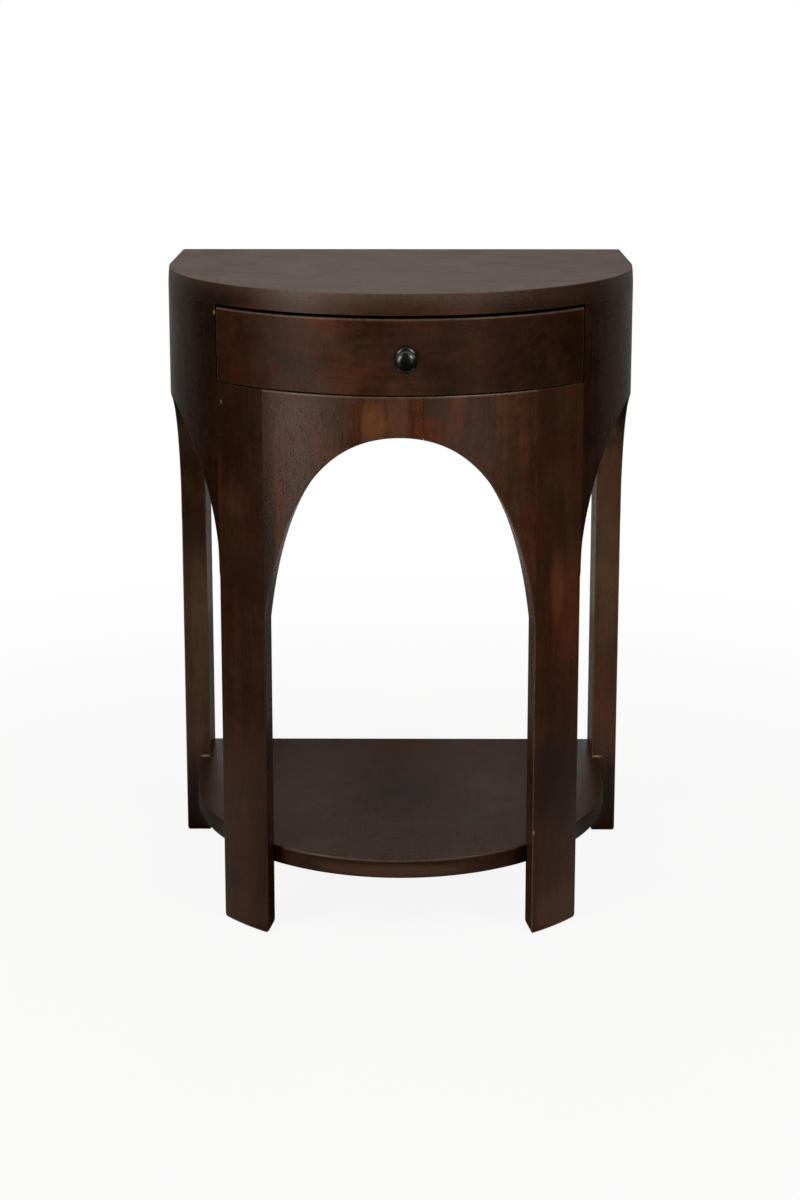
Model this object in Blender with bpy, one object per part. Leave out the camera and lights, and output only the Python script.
"""Demilune side table: a curved wall of upright staves on four legs, with a bow-front drawer and a low shelf.

Metres, +Z up. The table faces -Y and stands on z = 0, centred on its own bounding box.
Plan shapes are drawn about the centre of the front curve, which is the origin of the table_frame empty.
"""
import math

import bmesh
import bpy

for item in list(bpy.data.objects):
    bpy.data.objects.remove(item, do_unlink=True)

# Overall form
FRONT_RADIUS = 0.225
SIDE_LENGTH = 0.115
TABLE_HEIGHT = 0.610
WALL_THICKNESS = 0.025
TOP_THICKNESS = 0.019
TOP_ROUNDING = 0.0025

# Legs and the arches between them
BACK_LEG_WIDTH = 0.057
FRONT_ARCH_HALF_SPAN = 0.123
FRONT_ARCH_RISE = 0.182
FRONT_ARCH_CROWN_PULL = 0.069
FRONT_ARCH_FOOT_PULL = 0.119
FRONT_ARCH_FOOT_LEAN = math.radians(7.0)
FRONT_APRON_HEIGHT = 0.037
SIDE_APRON_HEIGHT = 0.104
SIDE_ARCH_RISE = 0.150
SIDE_ARCH_CROWN_PULL = 0.074
SIDE_ARCH_FOOT_PULL = 0.071
LEG_CUT_TURN = math.radians(3.2)
FRONT_STAVE_JOINTS = (-0.034, -0.009, 0.021, 0.083)
SIDE_STAVE_JOINT = -0.055
BACK_APRON_THICKNESS = 0.020
BACK_APRON_HEIGHT = 0.104

# Shelf
SHELF_HEIGHT = 0.081
SHELF_THICKNESS = 0.0175
SHELF_HOUSING_DEPTH = 0.0055
SHELF_ROUNDING = 0.0015

# Drawer and what carries it
DRAWER_OPENING_HEIGHT = 0.0715
DRAWER_OPENING_HALF_WIDTH = 0.167
DRAWER_FRONT_THICKNESS = 0.020
DRAWER_TOP_GAP = 0.002
DRAWER_SILL_GAP = 0.001
DRAWER_END_GAP = 0.0008
DRAWER_BOX_INSET = 0.009
DRAWER_SIDE_THICKNESS = 0.012
DRAWER_SIDE_HEIGHT = 0.058
DRAWER_BACK_THICKNESS = 0.012
DRAWER_BOTTOM_THICKNESS = 0.005
DRAWER_BOTTOM_HEIGHT = 0.008
DRAWER_GROOVE_DEPTH = 0.005
BEARER_WIDTH = 0.070
BEARER_THICKNESS = 0.018
GUIDE_WIDTH = 0.016
GUIDE_HEIGHT = 0.022
GUIDE_CLEARANCE = 0.0005
STOP_THICKNESS = 0.010
STOP_HEIGHT = 0.024
CLEAT_WIDTH = 0.020
CLEAT_HEIGHT = 0.020
CLEAT_LENGTH = 0.105

# Knob and fasteners
KNOB_OFFSET = 0.0055
KNOB_COLLAR_DIAMETER = 0.0205
KNOB_COLLAR_LENGTH = 0.0060
KNOB_NECK_DIAMETER = 0.0120
KNOB_REACH = 0.0245
KNOB_HEAD_DIAMETER = 0.0205
KNOB_RIM_LENGTH = 0.0028
KNOB_DOME_RISE = 0.0052
KNOB_SCREW_LENGTH = 0.032
SCREW_DIAMETER = 0.004
SCREW_HEAD_DIAMETER = 0.008
SCREW_HEAD_HEIGHT = 0.0026
CLEAT_SCREW_LENGTH = 0.030
GUIDE_SCREW_LENGTH = 0.034
BOTTOM_SCREW_LENGTH = 0.018

# Clearance between pieces that are glued or seated together, and the fineness of the curves
FIT_GAP = 0.0003
ARC_STEP = math.radians(3.0)
COLUMN_STEP = 0.008
ROUND_SIDES = 24
SCREW_SIDES = 12

# Places worked out from the sizes above
INNER_RADIUS = FRONT_RADIUS - WALL_THICKNESS
UNDER_TOP = TABLE_HEIGHT - TOP_THICKNESS
WALL_TOP = UNDER_TOP - FIT_GAP
SILL = UNDER_TOP - DRAWER_OPENING_HEIGHT
FRONT_CROWN = SILL - FRONT_APRON_HEIGHT
SIDE_CROWN = UNDER_TOP - SIDE_APRON_HEIGHT
LEG_SIDE_Y = -math.sqrt(FRONT_RADIUS ** 2 - DRAWER_OPENING_HALF_WIDTH ** 2)
BACK_LEG_FACE_Y = SIDE_LENGTH - BACK_LEG_WIDTH
BACK_INNER_Y = SIDE_LENGTH - BACK_APRON_THICKNESS
DRAWER_BASE = SILL + DRAWER_SILL_GAP
DRAWER_INNER_RADIUS = FRONT_RADIUS - DRAWER_FRONT_THICKNESS
DRAWER_HALF_WIDTH = DRAWER_OPENING_HALF_WIDTH - DRAWER_END_GAP
BOX_HALF_WIDTH = DRAWER_OPENING_HALF_WIDTH - DRAWER_BOX_INSET
BOX_INNER_HALF_WIDTH = BOX_HALF_WIDTH - DRAWER_SIDE_THICKNESS
STOP_FACE_Y = BACK_INNER_Y - FIT_GAP - STOP_THICKNESS
BOX_BACK_Y = STOP_FACE_Y - FIT_GAP
BEARER_TOP = DRAWER_BASE - FIT_GAP
GUIDE_INNER_X = BOX_HALF_WIDTH + GUIDE_CLEARANCE
BOTTOM_BASE = DRAWER_BASE + DRAWER_BOTTOM_HEIGHT
BOTTOM_TOP = BOTTOM_BASE + DRAWER_BOTTOM_THICKNESS
KNOB_SEAT_Y = -FRONT_RADIUS - FIT_GAP
KNOB_LENGTH = KNOB_REACH + KNOB_RIM_LENGTH + KNOB_DOME_RISE
KNOB_Z = DRAWER_BASE + (UNDER_TOP - DRAWER_TOP_GAP - DRAWER_BASE) / 2
CURVE_CENTRE_Y = (KNOB_LENGTH - KNOB_SEAT_Y - SIDE_LENGTH) / 2


def material(name, colour, roughness, metallic=0.0):
    """Return a Principled material with the given base colour."""
    made = bpy.data.materials.new(name)
    made.use_nodes = True
    shader = made.node_tree.nodes["Principled BSDF"]
    shader.inputs["Base Color"].default_value = (*colour, 1.0)
    shader.inputs["Roughness"].default_value = roughness
    shader.inputs["Metallic"].default_value = metallic
    made.diffuse_color = (*colour, 1.0)
    return made


STAINED = (0.075, 0.034, 0.020)
PALE_WOOD = (0.42, 0.28, 0.16)
PLYWOOD = (0.50, 0.36, 0.22)
BLACK_METAL = (0.012, 0.013, 0.012)
STEEL = (0.55, 0.55, 0.54)


def empty(name, parent, location):
    """Return an empty that pieces are placed on."""
    frame = bpy.data.objects.new(name, None)
    bpy.context.scene.collection.objects.link(frame)
    frame.parent = parent
    frame.location = location
    return frame


table_frame = empty("table_frame", None, (0.0, CURVE_CENTRE_Y, 0.0))
drawer_frame = empty("drawer_frame", table_frame, (0.0, 0.0, DRAWER_BASE))


def loft(name, loops, parent, finish, smooth=False, shift=(0.0, 0.0, 0.0)):
    """Skin closed loops of equal length into one solid, with a cap at each end."""
    count = len(loops[0])
    verts = []
    for loop in loops:
        for x, y, z in loop:
            verts.append((x - shift[0], y - shift[1], z - shift[2]))
    faces = [tuple(range(count - 1, -1, -1))]
    for row in range(len(loops) - 1):
        for i in range(count):
            j = (i + 1) % count
            low = row * count
            high = low + count
            faces.append((low + i, low + j, high + j, high + i))
    last = (len(loops) - 1) * count
    faces.append(tuple(range(last, last + count)))
    mesh = bpy.data.meshes.new(name)
    mesh.from_pydata(verts, [], faces)
    work = bmesh.new()
    work.from_mesh(mesh)
    bmesh.ops.recalc_face_normals(work, faces=work.faces)
    for face in work.faces:
        face.smooth = smooth and len(face.verts) == 4
    work.to_mesh(mesh)
    work.free()
    solid = bpy.data.objects.new(name, mesh)
    bpy.context.scene.collection.objects.link(solid)
    solid.parent = parent
    if finish is not None:
        colour, roughness, metallic = finish
        mesh.materials.append(material(name + "_finish", colour, roughness, metallic))
    return solid


def hide_cutter(cutter):
    """Keep a solid only as a cutting shape."""
    cutter.hide_render = True
    cutter.display_type = "WIRE"
    return cutter


def cut(target, cutter):
    """Cut one solid out of another."""
    boolean = target.modifiers.new("cut_" + cutter.name, "BOOLEAN")
    boolean.operation = "DIFFERENCE"
    boolean.solver = "EXACT"
    boolean.object = cutter


def steps(start, stop, size):
    """Return evenly spaced values from start to stop, no further apart than size."""
    count = max(1, math.ceil(abs(stop - start) / size))
    return [start + (stop - start) * i / count for i in range(count + 1)]


def box_loops(x0, x1, y0, y1, z0, z1):
    """Return the bottom and top outline of a box."""
    outline = [(x0, y0), (x1, y0), (x1, y1), (x0, y1)]
    return [[(x, y, z) for x, y in outline] for z in (z0, z1)]


def curve_y(radius, x):
    """Return the Y of a front curve of the given radius at x."""
    return -math.sqrt(max(radius ** 2 - x ** 2, 0.0))


def wall_x(radius, y):
    """Return the X of the right wall face at y: curved in front of the centre, straight behind it."""
    if y >= 0.0:
        return radius
    return math.sqrt(max(radius ** 2 - y ** 2, 0.0))


def d_outline(radius, back_y, z):
    """Return a D-shaped loop: a half circle in front and straight sides to the back."""
    loop = [(radius, back_y, z)]
    loop += [(radius * math.cos(a), -radius * math.sin(a), z) for a in steps(0.0, math.pi, ARC_STEP)]
    loop.append((-radius, back_y, z))
    return loop


def d_slab(name, radius, back_y, z0, z1, rounding, finish):
    """Return a D-shaped board whose upper edge is rounded."""
    loops = [d_outline(radius, back_y, z0)]
    turns = (0.0, 1.0 / 3.0, 2.0 / 3.0, 1.0) if rounding else (0.0,)
    for turn in turns:
        angle = turn * math.pi / 2
        inset = rounding * (1.0 - math.cos(angle))
        drop = rounding * (1.0 - math.sin(angle))
        loops.append(d_outline(radius - inset, back_y - inset, z1 - drop))
    return loft(name, loops, table_frame, finish)


def arch_height(x, half_span, crown, rise, crown_pull, foot_pull, foot_lean):
    """Return the height of an arch at x from its middle: one cubic curve from crown to foot."""
    foot_x = half_span - foot_pull * math.sin(foot_lean)
    foot_z = crown - rise + foot_pull * math.cos(foot_lean)
    low = 0.0
    high = 1.0
    for _ in range(50):
        t = (low + high) / 2
        reach = 3 * (1 - t) ** 2 * t * crown_pull + 3 * (1 - t) * t ** 2 * foot_x + t ** 3 * half_span
        if reach < abs(x):
            low = t
        else:
            high = t
    shoulder = (1 - t) ** 3 + 3 * (1 - t) ** 2 * t
    return shoulder * crown + 3 * (1 - t) * t ** 2 * foot_z + t ** 3 * (crown - rise)


def front_arch(x):
    """Return the height of the front arch at x on the outer face."""
    return arch_height(x, FRONT_ARCH_HALF_SPAN, FRONT_CROWN, FRONT_ARCH_RISE, FRONT_ARCH_CROWN_PULL,
                       FRONT_ARCH_FOOT_PULL, FRONT_ARCH_FOOT_LEAN)


def side_arch(y):
    """Return the height of a side arch at y."""
    middle = (LEG_SIDE_Y + BACK_LEG_FACE_Y) / 2
    half_span = (BACK_LEG_FACE_Y - LEG_SIDE_Y) / 2
    return arch_height(y - middle, half_span, SIDE_CROWN, SIDE_ARCH_RISE, SIDE_ARCH_CROWN_PULL,
                       SIDE_ARCH_FOOT_PULL, 0.0)


def upright(outer, inner, z0, z1):
    """Return one cross-section of a wall: a tall quad between an outer and an inner plan point."""
    return [(*outer, z0), (*inner, z0), (*inner, z1), (*outer, z1)]


WOOD_FINISH = (STAINED, 0.38, 0.0)
INNER_FINISH = (PALE_WOOD, 0.65, 0.0)
PLYWOOD_FINISH = (PLYWOOD, 0.6, 0.0)
KNOB_FINISH = (BLACK_METAL, 0.18, 0.6)
SCREW_FINISH = (STEEL, 0.35, 1.0)

# Top and shelf
SHELF_RADIUS = INNER_RADIUS + SHELF_HOUSING_DEPTH
SHELF_BASE = SHELF_HEIGHT - SHELF_THICKNESS
top_panel = d_slab("top_panel", FRONT_RADIUS, SIDE_LENGTH, UNDER_TOP, TABLE_HEIGHT, TOP_ROUNDING, WOOD_FINISH)
shelf = d_slab("shelf", SHELF_RADIUS, SIDE_LENGTH, SHELF_BASE, SHELF_HEIGHT, SHELF_ROUNDING, WOOD_FINISH)
shelf_housing = hide_cutter(d_slab("shelf_housing", SHELF_RADIUS + FIT_GAP, SIDE_LENGTH + WALL_THICKNESS,
                                   SHELF_BASE - FIT_GAP, SHELF_HEIGHT + FIT_GAP, 0.0, None))

# Front legs: staves of the wall that run to the floor, from the front arch to the drawer's end
JAMB_ANGLE = math.asin(FRONT_ARCH_HALF_SPAN / FRONT_RADIUS)
SIDE_ANGLE = math.asin(DRAWER_OPENING_HALF_WIDTH / FRONT_RADIUS)
INNER_JAMB_ANGLE = JAMB_ANGLE + LEG_CUT_TURN
INNER_SIDE_ANGLE = SIDE_ANGLE - LEG_CUT_TURN
LEG_GAP_ANGLE = FIT_GAP / 2 / INNER_RADIUS
FRONT_CUT_SHARE = INNER_RADIUS * math.sin(INNER_JAMB_ANGLE) / FRONT_ARCH_HALF_SPAN
SIDE_CUT_SHARE = INNER_RADIUS * math.cos(INNER_SIDE_ANGLE) / -LEG_SIDE_Y


def front_leg(name, side):
    """Add a front leg on the given side (-1 left, 1 right)."""
    middle = (JAMB_ANGLE + SIDE_ANGLE) / 2
    half = (SIDE_ANGLE - JAMB_ANGLE) / 2 - LEG_GAP_ANGLE
    inner_half = half - LEG_CUT_TURN
    loops = []
    for share in steps(-1.0, 1.0, ARC_STEP / half):
        a = middle + half * share
        b = middle + inner_half * share
        outer = (side * FRONT_RADIUS * math.sin(a), -FRONT_RADIUS * math.cos(a))
        inner = (side * INNER_RADIUS * math.sin(b), -INNER_RADIUS * math.cos(b))
        loops.append(upright(outer, inner, 0.0, SILL))
    leg = loft(name, loops, table_frame, WOOD_FINISH)
    cut(leg, shelf_housing)


def back_leg(name, side):
    """Add a back leg: a straight board at the end of the side wall."""
    xs = sorted((side * INNER_RADIUS, side * FRONT_RADIUS))
    loops = box_loops(xs[0], xs[1], BACK_LEG_FACE_Y + FIT_GAP / 2, SIDE_LENGTH, 0.0, WALL_TOP)
    leg = loft(name, loops, table_frame, WOOD_FINISH)
    cut(leg, shelf_housing)


def front_stave(name, x0, x1):
    """Add one upright stave between the front arch and the drawer sill."""
    loops = []
    for x in steps(x0 + FIT_GAP / 2, x1 - FIT_GAP / 2, COLUMN_STEP):
        inner_x = x * FRONT_CUT_SHARE
        outer = (x, curve_y(FRONT_RADIUS, x))
        inner = (inner_x, curve_y(INNER_RADIUS, inner_x))
        loops.append(upright(outer, inner, front_arch(x), SILL))
    loft(name, loops, table_frame, WOOD_FINISH)


def side_stave(name, side, y0, y1):
    """Return one upright stave between a side arch and the top."""
    loops = []
    for y in steps(y0 + FIT_GAP / 2, y1 - FIT_GAP / 2, COLUMN_STEP):
        inner_y = y * SIDE_CUT_SHARE if y < 0.0 else y
        outer = (side * wall_x(FRONT_RADIUS, y), y)
        inner = (side * wall_x(INNER_RADIUS, inner_y), inner_y)
        loops.append(upright(outer, inner, side_arch(y), WALL_TOP))
    return loft(name, loops, table_frame, WOOD_FINISH)


opening_box = box_loops(-DRAWER_OPENING_HALF_WIDTH, DRAWER_OPENING_HALF_WIDTH,
                        -FRONT_RADIUS - WALL_THICKNESS, 0.0, SILL, TABLE_HEIGHT)
drawer_opening = hide_cutter(loft("drawer_opening", opening_box, table_frame, None))

joints = (-FRONT_ARCH_HALF_SPAN, *FRONT_STAVE_JOINTS, FRONT_ARCH_HALF_SPAN)
for number in range(len(joints) - 1):
    front_stave(f"front_stave_{number + 1}", joints[number], joints[number + 1])

SIDES = (("left", -1), ("right", 1))
for word, side in SIDES:
    front_leg(f"{word}_front_leg", side)
    back_leg(f"{word}_back_leg", side)
    stave = side_stave(f"{word}_side_stave_front", side, LEG_SIDE_Y, SIDE_STAVE_JOINT)
    cut(stave, drawer_opening)
    side_stave(f"{word}_side_stave_back", side, SIDE_STAVE_JOINT, BACK_LEG_FACE_Y)

APRON_HALF_LENGTH = INNER_RADIUS - FIT_GAP
apron_box = box_loops(-APRON_HALF_LENGTH, APRON_HALF_LENGTH, BACK_INNER_Y, SIDE_LENGTH,
                      UNDER_TOP - BACK_APRON_HEIGHT, WALL_TOP)
loft("back_apron", apron_box, table_frame, WOOD_FINISH)


def turned(name, profile, origin, axis, sides, parent, finish, shift=(0.0, 0.0, 0.0)):
    """Return a round solid from (distance along the axis, radius) pairs; the axis is '+z', '-z' or '-y'."""
    loops = []
    for along, radius in profile:
        loop = []
        for i in range(sides):
            angle = 2 * math.pi * i / sides
            u = radius * math.cos(angle)
            v = radius * math.sin(angle)
            offset = {"+z": (u, v, along), "-z": (u, -v, -along), "-y": (u, -along, v)}[axis]
            loop.append(tuple(o + d for o, d in zip(origin, offset)))
        loops.append(loop)
    return loft(name, loops, parent, finish, smooth=True, shift=shift)


def screw_profile(length, grow):
    """Return a countersunk wood screw, or the hole for it when grow is more than nothing."""
    shank = SCREW_DIAMETER / 2 + grow
    head = SCREW_HEAD_DIAMETER / 2 + grow
    tip = length - SCREW_DIAMETER
    return [(-grow, head), (SCREW_HEAD_HEIGHT + grow, shank), (tip, shank), (length + grow, shank * 0.3)]


def screw(name, origin, axis, length, parent, pieces, shift=(0.0, 0.0, 0.0)):
    """Add a countersunk screw and bore its hole in the pieces that it joins."""
    body = screw_profile(length, 0.0)
    bore = screw_profile(length, FIT_GAP)
    turned(name, body, origin, axis, SCREW_SIDES, parent, SCREW_FINISH, shift)
    hole = hide_cutter(turned(name + "_hole", bore, origin, axis, SCREW_SIDES, parent, None, shift))
    for piece in pieces:
        cut(piece, hole)


def carcass_strip(name, side, x0, x1, back_y, z0, z1):
    """Return a strip inside the wall whose front end follows the wall's inner face."""
    seat = INNER_RADIUS - FIT_GAP
    outer_x = min(x1, seat)
    loops = []
    for x in steps(x0, outer_x, COLUMN_STEP / 2):
        front_y = curve_y(seat, x)
        back = (side * x, back_y)
        loops.append(upright((side * x, front_y), back, z0, z1))
    return loft(name, loops, table_frame, INNER_FINISH)


# Drawer bearers, guides and stops, and the cleats that hold the top
GUIDE_TOP = BEARER_TOP + FIT_GAP + GUIDE_HEIGHT
GUIDE_SCREW_X = GUIDE_INNER_X + GUIDE_WIDTH / 2
CLEAT_BACK_Y = BACK_INNER_Y - FIT_GAP
CLEAT_BASE = UNDER_TOP - FIT_GAP - CLEAT_HEIGHT
for word, side in SIDES:
    bearer = carcass_strip(f"{word}_bearer", side, INNER_RADIUS - BEARER_WIDTH, INNER_RADIUS,
                           BACK_INNER_Y - FIT_GAP, BEARER_TOP - BEARER_THICKNESS, BEARER_TOP)
    guide = carcass_strip(f"{word}_guide", side, GUIDE_INNER_X, GUIDE_INNER_X + GUIDE_WIDTH,
                          BACK_INNER_Y - FIT_GAP, BEARER_TOP + FIT_GAP, GUIDE_TOP)
    guide_front_y = curve_y(INNER_RADIUS - FIT_GAP, GUIDE_INNER_X + GUIDE_WIDTH)
    for end, share in (("front", 0.2), ("back", 0.8)):
        screw_y = guide_front_y + (BACK_INNER_Y - guide_front_y) * share
        screw(f"{word}_guide_screw_{end}", (side * GUIDE_SCREW_X, screw_y, GUIDE_TOP), "-z",
              GUIDE_SCREW_LENGTH, table_frame, (guide, bearer))

    stop_xs = sorted((side * BOX_INNER_HALF_WIDTH, side * BOX_HALF_WIDTH))
    stop_base = BEARER_TOP + FIT_GAP
    stop_box = box_loops(stop_xs[0], stop_xs[1], STOP_FACE_Y, BACK_INNER_Y - FIT_GAP,
                         stop_base, stop_base + STOP_HEIGHT)
    loft(f"{word}_stop", stop_box, table_frame, INNER_FINISH)

    cleat_xs = sorted((side * (INNER_RADIUS - FIT_GAP - CLEAT_WIDTH), side * (INNER_RADIUS - FIT_GAP)))
    cleat_box = box_loops(cleat_xs[0], cleat_xs[1], CLEAT_BACK_Y - CLEAT_LENGTH, CLEAT_BACK_Y,
                          CLEAT_BASE, UNDER_TOP - FIT_GAP)
    cleat = loft(f"{word}_cleat", cleat_box, table_frame, INNER_FINISH)
    for end, share in (("front", 0.2), ("back", 0.8)):
        screw_y = CLEAT_BACK_Y - CLEAT_LENGTH * (1.0 - share)
        screw(f"{word}_cleat_screw_{end}", (sum(cleat_xs) / 2, screw_y, CLEAT_BASE), "+z",
              CLEAT_SCREW_LENGTH, table_frame, (cleat, top_panel))

# Drawer
SHIFT = (0.0, 0.0, DRAWER_BASE)


def bow_board(name, half_width, outer_radius, back_of, z0, z1, finish):
    """Return a board with a bowed front edge; back_of gives the Y of its back at x."""
    loops = []
    for x in steps(-half_width, half_width, COLUMN_STEP):
        loops.append(upright((x, curve_y(outer_radius, x)), (x, back_of(x)), z0, z1))
    return loft(name, loops, drawer_frame, finish, shift=SHIFT)


def drawer_side(name, side):
    """Return a drawer side whose front end follows the back of the bowed front."""
    seat = DRAWER_INNER_RADIUS - FIT_GAP
    loops = []
    for x in steps(BOX_INNER_HALF_WIDTH, BOX_HALF_WIDTH, COLUMN_STEP / 2):
        front = (side * x, curve_y(seat, x))
        loops.append(upright(front, (side * x, BOX_BACK_Y), DRAWER_BASE, DRAWER_BASE + DRAWER_SIDE_HEIGHT))
    return loft(name, loops, drawer_frame, INNER_FINISH, shift=SHIFT)


def inner_bow(x):
    """Return the Y of the back face of the drawer front at x."""
    return curve_y(DRAWER_INNER_RADIUS, x)


def box_back(x):
    """Return the Y of the back end of the drawer box, which is the same at any x."""
    return BOX_BACK_Y


def past_box_back(x):
    """Return a Y behind the drawer box, so that the groove runs out at the back."""
    return BOX_BACK_Y + DRAWER_BACK_THICKNESS


drawer_front = bow_board("drawer_front", DRAWER_HALF_WIDTH, FRONT_RADIUS, inner_bow, DRAWER_BASE,
                         UNDER_TOP - DRAWER_TOP_GAP, WOOD_FINISH)
BOTTOM_HALF_WIDTH = BOX_INNER_HALF_WIDTH + DRAWER_GROOVE_DEPTH - FIT_GAP
BOTTOM_RADIUS = DRAWER_INNER_RADIUS + DRAWER_GROOVE_DEPTH - FIT_GAP
drawer_bottom = bow_board("drawer_bottom", BOTTOM_HALF_WIDTH, BOTTOM_RADIUS, box_back, BOTTOM_BASE,
                          BOTTOM_TOP, PLYWOOD_FINISH)
groove = bow_board("bottom_groove", BOTTOM_HALF_WIDTH + FIT_GAP, BOTTOM_RADIUS + FIT_GAP, past_box_back,
                   BOTTOM_BASE - FIT_GAP, BOTTOM_TOP + FIT_GAP, None)
hide_cutter(groove)
cut(drawer_front, groove)
for word, side in SIDES:
    cut(drawer_side(f"drawer_{word}_side", side), groove)

BACK_HALF_WIDTH = BOX_INNER_HALF_WIDTH - FIT_GAP
back_box = box_loops(-BACK_HALF_WIDTH, BACK_HALF_WIDTH, BOX_BACK_Y - DRAWER_BACK_THICKNESS, BOX_BACK_Y,
                     BOTTOM_TOP + FIT_GAP, DRAWER_BASE + DRAWER_SIDE_HEIGHT)
drawer_back = loft("drawer_back", back_box, drawer_frame, INNER_FINISH, shift=SHIFT)
for word, side in SIDES:
    place = (side * BACK_HALF_WIDTH / 2, BOX_BACK_Y - DRAWER_BACK_THICKNESS / 2, BOTTOM_BASE)
    screw(f"bottom_screw_{word}", place, "+z", BOTTOM_SCREW_LENGTH, drawer_frame,
          (drawer_bottom, drawer_back), SHIFT)

# Knob, and the screw that holds it from inside the drawer: a domed collar, a neck and a domed head
DOME_END = math.radians(80.0)
collar = KNOB_COLLAR_DIAMETER / 2
neck = KNOB_NECK_DIAMETER / 2
head = KNOB_HEAD_DIAMETER / 2
rim_end = KNOB_REACH + KNOB_RIM_LENGTH
knob_profile = [(0.0, collar)]
for angle in steps(0.0, math.pi / 2, math.pi / 8):
    along = KNOB_COLLAR_LENGTH * (0.2 + 0.8 * math.sin(angle))
    knob_profile.append((along, neck + (collar - neck) * math.cos(angle)))
knob_profile += [(KNOB_REACH - (head - neck), neck), (KNOB_REACH, head)]
for angle in steps(0.0, DOME_END, DOME_END / 5):
    along = rim_end + KNOB_DOME_RISE * math.sin(angle) / math.sin(DOME_END)
    knob_profile.append((along, head * math.cos(angle)))
knob = turned("knob", knob_profile, (KNOB_OFFSET, KNOB_SEAT_Y, KNOB_Z), "-y", ROUND_SIDES, drawer_frame,
              KNOB_FINISH, SHIFT)
screw("knob_screw", (KNOB_OFFSET, inner_bow(KNOB_OFFSET), KNOB_Z), "-y", KNOB_SCREW_LENGTH, drawer_frame,
      (drawer_front, knob), SHIFT)
